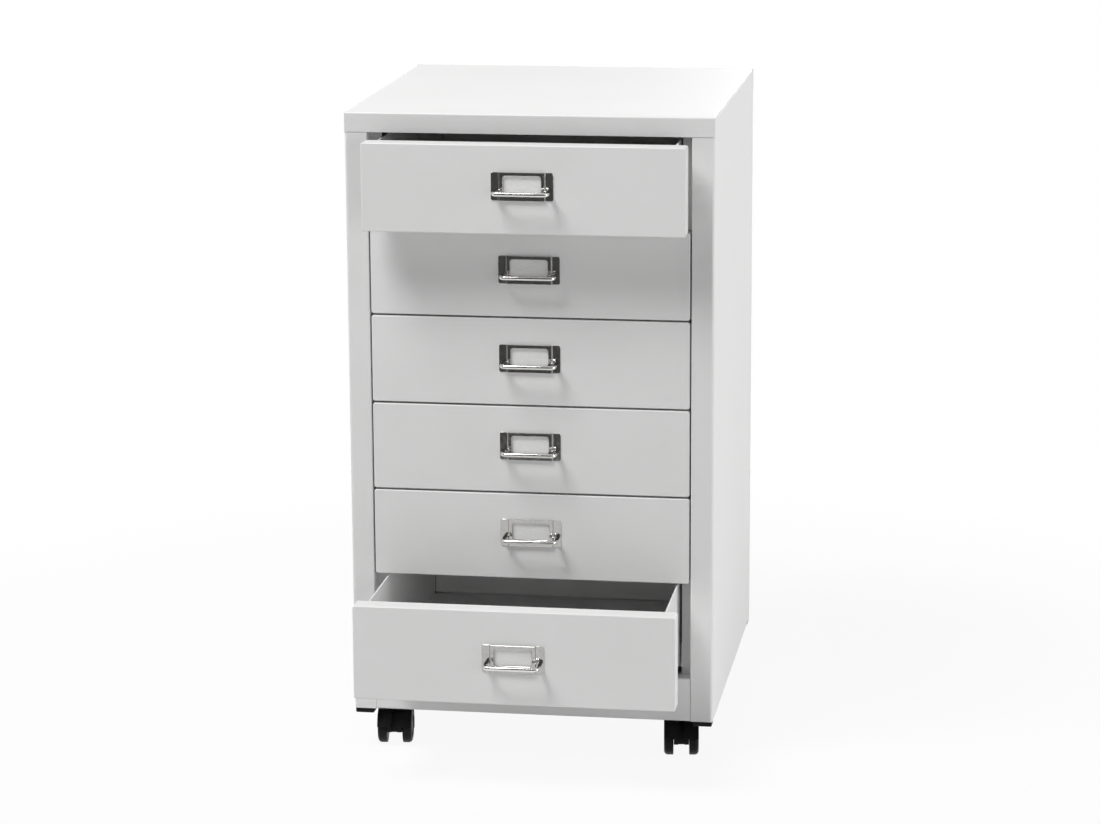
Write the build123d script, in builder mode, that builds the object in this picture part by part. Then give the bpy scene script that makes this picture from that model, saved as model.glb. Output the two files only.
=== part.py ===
import os
from math import cos, radians, sin

from build123d import *

os.makedirs("parts", exist_ok=True)

# Driving dimensions, in millimetres
cabinet_width = 390.0
cabinet_depth = 410.0
carcass_height = 651.0

# Sheet steel
sheet = 0.8
tray_sheet = 0.7
rail_sheet = 1.0
bend_radius = 1.6  # to the middle of the sheet
corner_bend = 2.8  # the same at an upright's outer corner
edge_bend = 0.9  # the same at an upright's inner edge
overrun = 5.0  # how far a cut runs past the piece

# Front frame
cap_height = 21.0
rail_face = 47.5  # height of the rail under the drawers
upright_face = 24.0
front_stop_gap = 1.0  # back of a closed drawer front to the stop flange
rear_return = 17.0
seam_gap = 0.15
cap_seam = 0.5  # between the top panel's lip and the uprights
side_flange = 12.0

# Base: the step behind the front rail and the raised floor that carries the casters
rail_step = 2.4  # middle of the step's riser to the stop flange
floor_rise = 14.0
floor_flange = 15.0

# Drawers, numbered from the top
drawer_count = 6
bottom_front_height = 101.0
front_gap = 2.0
cap_gap = 5.2  # top panel's lip to the first front
front_side_gap = 1.5
front_depth = 21.0
front_edge_radius = 1.2
front_corner_radius = 2.6
front_return = 12.0
top_drawer_offset = 42.0  # how far the drawer stands open
bottom_drawer_offset = 123.0

# Trays
tray_inset = 12.5  # from the side of the front to the side of the tray
tray_back_gap = 22.4  # closed tray to the back panel
tray_hold = 75.0  # length of tray that stays inside when fully open
tray_lift = 6.0  # tray bottom above the front's lower edge
tray_drop = 1.2  # tray top below the front's upper edge
tray_radius = 2.0
hem_height = 8.0
hem_thickness = 1.4
corner_relief = 1.6  # radius of the hole at each lower corner of a tray's back
back_seam = 1.0  # open seams below and beside a tray's back

# Runners and stops
stop_gap = 2.5  # tray side to the stop flange's edge
rail_side_clearance = 0.4
rail_clearance = 0.3
rail_leg = 25.0
rail_ledge = 13.0
rail_tab = 12.0
stop_tab_reach = 6.0
stop_tab_height = 14.0
stop_tab_rise = 9.0  # above the runner's leg
stop_clearance = 0.2

# Label plate, card and wire pull
plate_width = 65.2
plate_height = 29.4
plate_sheet = 0.8
plate_corner = 2.0
plate_lift = 35.5  # above the front's lower edge
pocket_rise = 1.7
pocket_bend_share = 0.42  # of the pocket's rise
window_side = 3.8  # from the pocket's side to the window
window_height = 18.8
window_drop = 3.2  # below the plate's upper edge
window_radius = 3.0
card_side_gap = 0.6
card_thickness = 0.4
card_drop = 1.5  # below the plate's upper edge
wire_diameter = 4.6
wire_reach = 18.0  # from the front to the middle of the bar
wire_inset = 4.7  # from the plate's end to the middle of a leg
wire_lift = 9.0  # above the plate's lower edge
wire_bend = 5.0
wire_pocket_gap = 1.2
wire_tail = 3.2
wire_tail_clearance = 0.05
wire_head = 6.0
wire_head_height = 1.0

# Foot caps
cap_foot_margin = 4.0  # narrower than the upright's face
cap_foot_depth = 15.0
cap_foot_height = 5.6
cap_foot_chamfer = 1.1
cap_foot_inset = 0.9
cap_plug_height = 8.0
cap_plug_inset = 2.6

# Casters
caster_inset_x = 38.0
caster_top_gap = 0.7  # hood to the foot caps
wheel_radius = 18.5
wheel_thickness = 10.2
wheel_outer_edge = 4.2
wheel_inner_edge = 0.9
wheel_recess_radius = 12.5
wheel_recess_depth = 1.2
wheel_cap_radius = 6.5
wheel_web_gap = 0.4
caster_trail = 13.0
web_width = 16.2
web_cut = 17.0  # height of the web's lower edge above the floor
web_hub = 15.0  # diameter of the web around the axle
hood_gap = 0.7
hood_thickness = 1.6
hood_edge = 0.6
hood_start_angle = 12.0
hood_end_angle = 205.0
groove_width = 6.5
groove_depth = 3.0
boss_diameter = 15.0
boss_root = 8.0  # how far the boss reaches down into the web
boss_gap = 0.4
axle_diameter = 5.0
axle_clearance = 0.05
axle_cover = 2.0
stem_diameter = 8.0
stem_clearance = 0.05
stem_root = 9.0
stem_chamfer = 1.0
socket_diameter = 13.0
socket_height = 24.0
socket_flange = 26.0
socket_flange_thickness = 1.5
socket_seat_gap = 0.05
socket_wall_gap = 3.4  # flange to the floor's front wall
caster_turns = {"front_left": 6.0, "front_right": 7.0, "rear_left": 38.0, "rear_right": -24.0}

# Back panel and its screws
back_side_gap = 0.4
back_foot_gap = 2.0
screw_rows = 5
screw_head = 6.5
screw_head_height = 1.8
screw_shank = 3.2
screw_length = 8.0
screw_clearance = 0.05

# Places that follow from the sizes
half_sheet = sheet / 2
outer_bend = bend_radius + half_sheet
outer_corner = corner_bend + half_sheet
inner_bend = bend_radius - half_sheet
half_width = cabinet_width / 2
pull_reach = wire_reach + wire_diameter / 2
rebate_depth = front_depth + front_stop_gap
floor_clearance = 2 * wheel_radius + hood_gap + hood_thickness + caster_top_gap + cap_foot_height
front_y = (bottom_drawer_offset + pull_reach - cabinet_depth - screw_head_height) / 2
back_y = front_y + cabinet_depth
carcass_bottom = floor_clearance
carcass_top = carcass_bottom + carcass_height
cap_bottom = carcass_top - cap_height
opening_half = half_width - upright_face
rail_top = carcass_bottom + rail_face
upper_fronts = cap_bottom - cap_gap - rail_top - bottom_front_height - drawer_count * front_gap
front_height = upper_fronts / (drawer_count - 1)
front_half = opening_half - front_side_gap
tray_half = front_half - tray_inset
flange_half = tray_half + stop_gap
flange_back = front_y + rebate_depth + sheet
back_inner = back_y - sheet - sheet
tray_length = cabinet_depth - front_depth - tray_back_gap - 2 * sheet
drawer_travel = tray_length - tray_hold
base_floor = carcass_bottom + floor_rise
riser_y = front_y + rebate_depth - rail_step
wire_x = plate_width / 2 - wire_inset
pocket_half = wire_x - wire_diameter / 2 - wire_pocket_gap - plate_sheet / 2
cap_foot_width = upright_face - cap_foot_margin
caster_inset_y = rebate_depth + 2 * sheet + socket_flange / 2 + socket_wall_gap


def strip(points, thickness, radius):
    """Sheet section of one thickness along a middle line bent to one radius, or to one for each corner."""
    with BuildLine() as middle:
        FilletPolyline(*points, radius=radius)
    trace(middle.line, line_width=thickness)


def block(x_range, y_range, z_range, mode=Mode.ADD):
    """Straight block between two limits in each direction."""
    with BuildSketch(Plane.XY.offset(z_range[0])) as outline:
        with Locations(((x_range[0] + x_range[1]) / 2, (y_range[0] + y_range[1]) / 2)):
            Rectangle(x_range[1] - x_range[0], y_range[1] - y_range[0])
    extrude(outline.sketch, amount=z_range[1] - z_range[0], mode=mode)


def keep(part, label):
    """Label one finished piece and write its file."""
    part.label = label
    export_step(part, f"parts/{label}.step")


def front_bottom(number):
    """Height of a drawer front's lower edge above the floor."""
    if number == drawer_count:
        return rail_top + front_gap
    return cap_bottom - cap_gap + front_gap - number * (front_height + front_gap)


def front_size(number):
    """Height of a drawer front, the lowest one being taller."""
    return bottom_front_height if number == drawer_count else front_height


def open_by(number):
    """How far a drawer stands open."""
    opened = {1: top_drawer_offset, drawer_count: bottom_drawer_offset}
    return opened.get(number, 0)


def tray_bottom(number):
    """Height of a tray's underside above the floor."""
    return front_bottom(number) + tray_lift


# Back panel screws: one column on each rear return
screw_x = half_width - sheet - rear_return / 2
screw_span = cap_bottom - carcass_bottom
screw_places = [
    (side * screw_x, carcass_bottom + screw_span * (row + 1) / (screw_rows + 1))
    for side in (-1, 1)
    for row in range(screw_rows)
]


def screw_holes():
    """Holes for the back panel's screws through whatever sheet lies there."""
    with BuildSketch(Plane.XZ.offset(-back_y)) as holes:
        with Locations(*screw_places):
            Circle(screw_shank / 2 + screw_clearance)
    extrude(holes.sketch, amount=overrun, mode=Mode.SUBTRACT)


# Side panels: skin, upright face, rebate return, stop flange and rear return in one bent sheet
def side_panel(hand):
    """One folded side; hand is -1 for the left and 1 for the right."""
    skin = hand * (half_width - half_sheet)
    inner = hand * (opening_half + half_sheet)
    stop = front_y + rebate_depth + half_sheet
    with BuildPart() as side:
        with BuildSketch(Plane.XY.offset(carcass_bottom)):
            strip(
                [
                    (hand * (half_width - rear_return), back_y - half_sheet),
                    (skin, back_y - half_sheet),
                    (skin, front_y + half_sheet),
                    (inner, front_y + half_sheet),
                    (inner, stop),
                    (hand * flange_half, stop),
                ],
                sheet,
                [bend_radius, corner_bend, edge_bend, bend_radius],
            )
        extrude(amount=carcass_height - outer_bend)
        lip_room = (cap_bottom - cap_seam, carcass_top)
        across = (-half_width - overrun, half_width + overrun)
        block(across, (front_y - overrun, front_y + sheet + seam_gap), lip_room, Mode.SUBTRACT)
        block(across, (back_y - sheet - seam_gap, back_y + overrun), lip_room, Mode.SUBTRACT)
        screw_holes()
    return side.part


keep(side_panel(-1), "side_panel_left")
keep(side_panel(1), "side_panel_right")

# Top panel: front and rear lips over the full width, short side flanges inside the skins
with BuildPart() as top_panel:
    with BuildSketch(Plane.YZ):
        strip(
            [
                (front_y + half_sheet, cap_bottom),
                (front_y + half_sheet, carcass_top - half_sheet),
                (back_y - half_sheet, carcass_top - half_sheet),
                (back_y - half_sheet, cap_bottom),
            ],
            sheet,
            bend_radius,
        )
    extrude(amount=half_width, both=True)
    bend_line = half_width - sheet - outer_bend
    lengthwise = (front_y + outer_corner, back_y - outer_bend)
    for hand in (-1, 1):
        edge = sorted((hand * bend_line, hand * (half_width + overrun)))
        block(edge, lengthwise, (carcass_top - outer_bend, carcass_top + overrun), Mode.SUBTRACT)
    flange_x = half_width - sheet - half_sheet
    with BuildSketch(Plane.XZ.offset(-lengthwise[1])):
        strip(
            [
                (-flange_x, carcass_top - side_flange),
                (-flange_x, carcass_top - half_sheet),
                (flange_x, carcass_top - half_sheet),
                (flange_x, carcass_top - side_flange),
            ],
            sheet,
            bend_radius,
        )
    extrude(amount=lengthwise[1] - lengthwise[0])
keep(top_panel.part, "top_panel")

# Caster places: swivel axis and the way each caster trails
caster_x = half_width - caster_inset_x
caster_places = {
    "front_left": (-caster_x, front_y + caster_inset_y),
    "front_right": (caster_x, front_y + caster_inset_y),
    "rear_left": (-caster_x, back_y - caster_inset_y),
    "rear_right": (caster_x, back_y - caster_inset_y),
}

# Bottom panel: rail ledge, rail face, rail underside, step up and the raised floor pan
with BuildPart() as bottom_panel:
    rail_half = opening_half - seam_gap
    with BuildSketch(Plane.YZ):
        strip(
            [
                (front_y + rebate_depth, rail_top - half_sheet),
                (front_y + half_sheet, rail_top - half_sheet),
                (front_y + half_sheet, carcass_bottom + half_sheet),
                (riser_y, carcass_bottom + half_sheet),
                (riser_y, base_floor + half_sheet),
                (front_y + rebate_depth, base_floor + half_sheet),
            ],
            sheet,
            bend_radius,
        )
    extrude(amount=rail_half, both=True)
    bend_room = inner_bend + seam_gap
    for hand in (-1, 1):
        corner = sorted((hand * (opening_half - bend_room), hand * half_width))
        behind = (front_y + rebate_depth - bend_room, front_y + rebate_depth + overrun)
        block(corner, behind, (carcass_bottom, rail_top), Mode.SUBTRACT)
    floor_half = half_width - sheet - seam_gap
    rim = (base_floor, base_floor + floor_flange)
    block((-floor_half, floor_half), (flange_back, back_inner), rim)
    inside = (rim[0] + sheet, rim[1] + overrun)
    pan_x = (sheet - floor_half, floor_half - sheet)
    block(pan_x, (flange_back + sheet, back_inner - sheet), inside, Mode.SUBTRACT)
    tongue = flange_half - stop_gap
    block((-tongue, tongue), (riser_y + bend_radius, flange_back + sheet), (base_floor, base_floor + sheet))
    with BuildSketch(Plane.XY.offset(base_floor)):
        with Locations(*caster_places.values()):
            Circle(socket_diameter / 2 + socket_seat_gap)
    extrude(amount=sheet, mode=Mode.SUBTRACT)
keep(bottom_panel.part, "bottom_panel")

# Back panel: flat sheet against the inner face of the rear returns and of the rear lip
with BuildPart() as back_panel:
    back_half = half_width - outer_bend - back_side_gap
    back_heights = (carcass_bottom + back_foot_gap, carcass_top - side_flange)
    block((-back_half, back_half), (back_inner, back_y - sheet), back_heights)
    screw_holes()
keep(back_panel.part, "back_panel")

# Back panel screws, all alike
with BuildPart() as carcass_screws:
    with BuildSketch(Plane.XZ.offset(-back_y)):
        with Locations(*screw_places):
            Circle(screw_head / 2)
    extrude(amount=-screw_head_height)
    fillet(carcass_screws.edges().group_by(Axis.Y)[-1], screw_head_height / 2)
    with BuildSketch(Plane.XZ.offset(-back_y)):
        with Locations(*screw_places):
            Circle(screw_shank / 2)
    extrude(amount=screw_length)
keep(carcass_screws.part, "carcass_screws")


# Runners: a leg beside each tray with an end tab at the front and the back, and a ledge under the tray
def runner_rails(hand):
    """The six runners of one side."""
    leg = hand * (tray_half + rail_side_clearance + rail_sheet / 2)
    tab = leg + hand * rail_tab
    front_tab = flange_back + rail_sheet / 2
    back_tab = back_inner - rail_sheet / 2
    with BuildPart() as rails:
        for number in range(1, drawer_count + 1):
            ledge_top = tray_bottom(number) - rail_clearance
            with BuildSketch(Plane.XY.offset(ledge_top - rail_sheet)):
                strip(
                    [(tab, front_tab), (leg, front_tab), (leg, back_tab), (tab, back_tab)],
                    rail_sheet,
                    bend_radius,
                )
            extrude(amount=rail_leg)
            ledge = sorted((leg, leg - hand * rail_ledge))
            ends = (front_tab + bend_radius, back_tab - bend_radius)
            block(ledge, ends, (ledge_top - rail_sheet, ledge_top))
    return rails.part


keep(runner_rails(-1), "runner_rails_left")
keep(runner_rails(1), "runner_rails_right")

# Foot caps: a tapered pad under each upright with a plug up inside its corner
with BuildPart() as foot_caps:
    pad_x = half_width - cap_foot_inset - cap_foot_width / 2
    pad_front = front_y + cap_foot_inset + cap_foot_depth / 2
    pad_back = back_y - cap_foot_inset - cap_foot_depth / 2
    pad_places = [(hand * pad_x, y) for hand in (-1, 1) for y in (pad_front, pad_back)]
    with BuildSketch(Plane.XY.offset(carcass_bottom - cap_foot_height)):
        with Locations(*pad_places):
            Rectangle(cap_foot_width, cap_foot_depth)
    extrude(amount=cap_foot_height)
    chamfer(foot_caps.edges().group_by(Axis.Z)[0], cap_foot_chamfer)
    plug_width = cap_foot_width - 2 * cap_plug_inset
    plug_depth = cap_foot_depth - 2 * cap_plug_inset
    with BuildSketch(Plane.XY.offset(carcass_bottom)):
        with Locations(*pad_places):
            Rectangle(plug_width, plug_depth)
    extrude(amount=cap_plug_height)
keep(foot_caps.part, "foot_caps")

# Caster sockets: flanged sleeves that stand in the floor's holes
with BuildPart() as caster_sockets:
    with BuildSketch(Plane.XY.offset(base_floor)):
        with Locations(*caster_places.values()):
            Circle(socket_diameter / 2)
    extrude(amount=socket_height)
    with BuildSketch(Plane.XY.offset(base_floor + sheet)):
        with Locations(*caster_places.values()):
            Circle(socket_flange / 2)
    extrude(amount=socket_flange_thickness)
    with BuildSketch(Plane.XY.offset(base_floor)):
        with Locations(*caster_places.values()):
            Circle(stem_diameter / 2 + stem_clearance)
    extrude(amount=socket_height, mode=Mode.SUBTRACT)
keep(caster_sockets.part, "caster_sockets")


# Drawers
def wire_places(number):
    """The two points on a front where the pull's legs pass through."""
    height = front_bottom(number) + plate_lift + wire_lift
    return [(side * wire_x, height) for side in (-1, 1)]


def drawer_tray(number):
    """Thin box with hemmed top edges, a back that hangs from its hem, and a stop tab on each side."""
    start = front_y - open_by(number) + front_depth
    end = start + tray_length
    bottom = tray_bottom(number)
    top = front_bottom(number) + front_size(number) - tray_drop
    hem_line = top - hem_height
    with BuildPart() as tray:
        block((-tray_half, tray_half), (start, end), (bottom, top))
        fillet(tray.edges().filter_by(Axis.Z), tray_radius)
        fillet(tray.edges().group_by(Axis.Z)[0], tray_radius)
        offset(amount=-tray_sheet, openings=tray.faces().sort_by(Axis.Z)[-1])
        with BuildSketch(Plane.XY.offset(hem_line)):
            with Locations((0, (start + end) / 2)):
                RectangleRounded(2 * tray_half, tray_length, tray_radius)
                hem_inner = (2 * (tray_half - hem_thickness), tray_length - 2 * hem_thickness)
                RectangleRounded(*hem_inner, tray_radius - tray_sheet, mode=Mode.SUBTRACT)
        extrude(amount=hem_height)
        seam_x = tray_half - tray_radius - back_seam / 2
        seam_z = bottom + tray_radius + back_seam / 2
        with BuildSketch(Plane.XZ.offset(-end)):
            with Locations((-seam_x, seam_z), (seam_x, seam_z)):
                Circle(corner_relief)
                Rectangle(back_seam, hem_line - seam_z, align=(Align.CENTER, Align.MIN))
            with Locations((0, seam_z)):
                Rectangle(2 * seam_x, back_seam)
        extrude(amount=tray_radius, mode=Mode.SUBTRACT)
        tab_start = start - front_depth + rebate_depth + sheet + drawer_travel + stop_clearance
        tab_bottom = bottom + rail_leg + stop_tab_rise
        tab_heights = (tab_bottom, tab_bottom + stop_tab_height)
        for hand in (-1, 1):
            tab = sorted((hand * (tray_half - tray_sheet), hand * (tray_half + stop_tab_reach)))
            block(tab, (tab_start, tab_start + tray_sheet), tab_heights)
    return tray.part


def drawer_front(number):
    """Folded pan with rounded front edges and returns at its back."""
    face = front_y - open_by(number)
    bottom = front_bottom(number)
    top = bottom + front_size(number)
    with BuildPart() as front:
        block((-front_half, front_half), (face, face + front_depth), (bottom, top))
        fillet(front.edges().filter_by(Axis.Y), front_corner_radius)
        fillet(front.edges().group_by(Axis.Y)[0], front_edge_radius)
        offset(amount=-sheet, openings=front.faces().sort_by(Axis.Y)[-1])
        with BuildSketch(Plane.XZ.offset(-face - front_depth)):
            with Locations((0, (bottom + top) / 2)):
                RectangleRounded(2 * front_half, top - bottom, front_corner_radius)
                back_opening = (2 * (front_half - front_return), top - bottom - 2 * front_return)
                Rectangle(*back_opening, mode=Mode.SUBTRACT)
        extrude(amount=sheet)
        with BuildSketch(Plane.XZ.offset(-face)):
            with Locations(*wire_places(number)):
                Circle(wire_tail / 2 + wire_tail_clearance)
        extrude(amount=-sheet, mode=Mode.SUBTRACT)
    return front.part


def drawer_label_plate(number):
    """Stamped card holder: flat wings, a raised pocket with a window, and a lip under the card."""
    face = front_y - open_by(number)
    bottom = front_bottom(number) + plate_lift
    middle = face - plate_sheet / 2
    raised = middle - pocket_rise
    with BuildPart() as plate:
        with BuildSketch(Plane.XY.offset(bottom)):
            strip(
                [
                    (-plate_width / 2, middle),
                    (-pocket_half, middle),
                    (-pocket_half, raised),
                    (pocket_half, raised),
                    (pocket_half, middle),
                    (plate_width / 2, middle),
                ],
                plate_sheet,
                pocket_bend_share * pocket_rise,
            )
        extrude(amount=plate_height)
        outer_edges = plate.edges().filter_by(Axis.Y).group_by(Axis.X)
        fillet(outer_edges[0] + outer_edges[-1], plate_corner)
        lip = pocket_half - plate_sheet / 2
        block((-lip, lip), (raised, face), (bottom, bottom + plate_sheet))
        window_z = bottom + plate_height - window_drop - window_height / 2
        with BuildSketch(Plane.XZ.offset(-face)):
            with Locations((0, window_z)):
                RectangleRounded(2 * (pocket_half - window_side), window_height, window_radius)
        extrude(amount=pocket_rise + plate_sheet + overrun, mode=Mode.SUBTRACT)
        with BuildSketch(Plane.XZ.offset(-face)):
            with Locations(*wire_places(number)):
                Circle(wire_tail / 2 + wire_tail_clearance)
        extrude(amount=plate_sheet, mode=Mode.SUBTRACT)
    return plate.part


def drawer_card(number):
    """Paper card that stands in the pocket behind the window."""
    face = front_y - open_by(number)
    bottom = front_bottom(number) + plate_lift + plate_sheet
    top = front_bottom(number) + plate_lift + plate_height - card_drop
    card_half = pocket_half - plate_sheet / 2 - card_side_gap
    with BuildPart() as card:
        block((-card_half, card_half), (face - card_thickness, face), (bottom, top))
    return card.part


def drawer_pull(number):
    """Wire bail with thinner tails through the plate and front, peened over behind."""
    face = front_y - open_by(number)
    left, right = wire_places(number)
    height = left[1]
    root = face - plate_sheet
    bar = face - wire_reach
    with BuildPart() as pull:
        with BuildLine() as path:
            FilletPolyline(
                (left[0], root, height),
                (left[0], bar, height),
                (right[0], bar, height),
                (right[0], root, height),
                radius=wire_bend,
            )
        with BuildSketch(Plane(origin=(left[0], root, height), z_dir=(0, -1, 0))):
            Circle(wire_diameter / 2)
        sweep(path=path.wires()[0])
        with BuildSketch(Plane.XZ.offset(-root)):
            with Locations(left, right):
                Circle(wire_tail / 2)
        extrude(amount=-plate_sheet - sheet)
        with BuildSketch(Plane.XZ.offset(-face - sheet)):
            with Locations(left, right):
                Circle(wire_head / 2)
        extrude(amount=-wire_head_height)
    return pull.part


for number in range(1, drawer_count + 1):
    keep(drawer_tray(number), f"drawer_{number}_tray")
    keep(drawer_front(number), f"drawer_{number}_front")
    keep(drawer_label_plate(number), f"drawer_{number}_label_plate")
    keep(drawer_card(number), f"drawer_{number}_card")
    keep(drawer_pull(number), f"drawer_{number}_pull")

# Casters
wheel_inner = web_width / 2 + wheel_web_gap
wheel_outer = wheel_inner + wheel_thickness
hood_inner_radius = wheel_radius + hood_gap
hood_radius = hood_inner_radius + hood_thickness
boss_top = base_floor - boss_gap


def caster_plane(name):
    """Upright plane through the middle of a caster, along its trail, centred on its axle."""
    x, y = caster_places[name]
    facing = 1 if name.startswith("front") else -1
    turn = radians(caster_turns[name])
    trail = Vector(sin(turn), -cos(turn) * facing, 0)
    axle = Vector(x, y, wheel_radius) + trail * caster_trail
    return Plane(origin=axle, x_dir=trail, z_dir=trail.cross(Vector(0, 0, 1)))


def caster_hood(name):
    """Web between the wheels, fender over them and the swivel boss."""
    middle = caster_plane(name)
    across = Axis(middle.origin, middle.z_dir)
    fender_radius = hood_inner_radius + hood_thickness / 2
    with BuildPart() as hood:
        with BuildSketch(middle):
            with BuildLine():
                CenterArc((0, 0), fender_radius, hood_start_angle, hood_end_angle - hood_start_angle)
            trace(line_width=hood_thickness)
        extrude(amount=wheel_outer, both=True)
        rims = hood.edges().filter_by(GeomType.CIRCLE).group_by(SortBy.RADIUS)[-1].group_by(across)
        fillet(rims[0] + rims[-1], hood_edge)
        with BuildSketch(middle):
            Circle(hood_radius)
            with Locations((0, web_cut - wheel_radius)):
                Rectangle(2 * hood_radius, hood_radius, align=(Align.CENTER, Align.MAX), mode=Mode.SUBTRACT)
            Circle(web_hub / 2)
        extrude(amount=web_width / 2, both=True)
        with BuildSketch(middle):
            Circle(hood_radius + overrun)
            Circle(hood_radius - groove_depth, mode=Mode.SUBTRACT)
        extrude(amount=groove_width / 2, both=True, mode=Mode.SUBTRACT)
        with BuildSketch(middle):
            Circle(axle_diameter / 2)
        extrude(amount=web_width / 2, both=True, mode=Mode.SUBTRACT)
        boss_bottom = wheel_radius + boss_root
        with BuildSketch(Plane.XY.offset(boss_bottom)):
            with Locations(caster_places[name]):
                Circle(boss_diameter / 2)
        extrude(amount=boss_top - boss_bottom)
        with BuildSketch(Plane.XY.offset(boss_top - stem_root)):
            with Locations(caster_places[name]):
                Circle(stem_diameter / 2)
        extrude(amount=stem_root, mode=Mode.SUBTRACT)
    return hood.part


def caster_stem(name):
    """Swivel pin from the hood's boss up into the socket."""
    with BuildPart() as stem:
        with BuildSketch(Plane.XY.offset(boss_top - stem_root)):
            with Locations(caster_places[name]):
                Circle(stem_diameter / 2)
        extrude(amount=stem_root + boss_gap + socket_height)
        chamfer(stem.edges().group_by(Axis.Z)[-1], stem_chamfer)
    return stem.part


def caster_axle(name):
    """Pin through the web with its ends inside the wheels."""
    with BuildPart() as axle:
        with BuildSketch(caster_plane(name)):
            Circle(axle_diameter / 2)
        extrude(amount=wheel_outer - axle_cover - wheel_recess_depth, both=True)
    return axle.part


def caster_wheel(name, hand):
    """Wheel with rounded rim, a ring recess in its outer face and a blind bore."""
    middle = caster_plane(name)
    out = middle.z_dir * hand
    inner = Plane(origin=middle.origin + out * wheel_inner, x_dir=middle.x_dir, z_dir=out)
    outer = Plane(origin=middle.origin + out * wheel_outer, x_dir=middle.x_dir, z_dir=out)
    with BuildPart() as wheel:
        with BuildSketch(inner):
            Circle(wheel_radius)
        extrude(amount=wheel_thickness)
        rims = wheel.edges().filter_by(GeomType.CIRCLE).group_by(Axis(middle.origin, out))
        fillet(rims[0], wheel_inner_edge)
        fillet(rims[-1], wheel_outer_edge)
        with BuildSketch(outer):
            Circle(wheel_recess_radius)
            Circle(wheel_cap_radius, mode=Mode.SUBTRACT)
        extrude(amount=-wheel_recess_depth, mode=Mode.SUBTRACT)
        with BuildSketch(inner):
            Circle(axle_diameter / 2 + axle_clearance)
        extrude(amount=wheel_thickness - axle_cover - wheel_recess_depth + axle_clearance, mode=Mode.SUBTRACT)
    return wheel.part


for name in caster_places:
    keep(caster_hood(name), f"caster_{name}_hood")
    keep(caster_stem(name), f"caster_{name}_stem")
    keep(caster_axle(name), f"caster_{name}_axle")
    keep(caster_wheel(name, -1), f"caster_{name}_wheel_a")
    keep(caster_wheel(name, 1), f"caster_{name}_wheel_b")
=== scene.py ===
"""Looks of a six-drawer steel mobile pedestal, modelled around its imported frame."""

import logging
import math
from collections.abc import Iterable
from dataclasses import dataclass
from enum import Enum

import bmesh
import bpy
from mathutils import Matrix, Vector


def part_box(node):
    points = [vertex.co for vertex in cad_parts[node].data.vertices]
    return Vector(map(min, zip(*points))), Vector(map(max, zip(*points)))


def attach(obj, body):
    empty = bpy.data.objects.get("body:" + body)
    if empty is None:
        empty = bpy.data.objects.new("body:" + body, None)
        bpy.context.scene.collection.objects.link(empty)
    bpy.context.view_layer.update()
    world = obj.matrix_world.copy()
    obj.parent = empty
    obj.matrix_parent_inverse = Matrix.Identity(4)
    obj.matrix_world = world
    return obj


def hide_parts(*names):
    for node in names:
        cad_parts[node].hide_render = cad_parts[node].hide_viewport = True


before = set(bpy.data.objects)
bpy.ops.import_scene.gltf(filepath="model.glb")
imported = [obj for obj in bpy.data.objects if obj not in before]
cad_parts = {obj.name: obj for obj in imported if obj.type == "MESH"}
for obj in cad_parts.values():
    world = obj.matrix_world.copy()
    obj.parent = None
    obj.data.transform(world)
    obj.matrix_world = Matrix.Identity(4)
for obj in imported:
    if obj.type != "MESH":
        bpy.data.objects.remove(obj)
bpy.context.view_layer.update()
log = logging.getLogger("pedestal")

Colour = tuple[float, float, float, float]
Point = tuple[float, float, float]
Ring = list[bmesh.types.BMEdge]

DRAWERS = range(1, 7)
CORNERS = ("front_left", "front_right", "rear_left", "rear_right")
QUARTER_TURN = math.pi / 2.0
WELD_DISTANCE = 0.000001
LOW_FACTOR = 0.3
HIGH_FACTOR = 0.7
UP = Vector((0.0, 0.0, 1.0))
FACING = 0.99


class Slot(Enum):
    """Material slots of the record that new pieces take their finish from."""

    PLATED = "plated_steel"
    NICKEL = "bright_nickel"
    PLASTIC = "black_plastic"


class Rays(Enum):
    """Ray kinds that see the white background instead of the lit one."""

    CAMERA = "Is Camera Ray"
    GLOSSY = "Is Glossy Ray"
    TRANSMISSION = "Is Transmission Ray"


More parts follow.
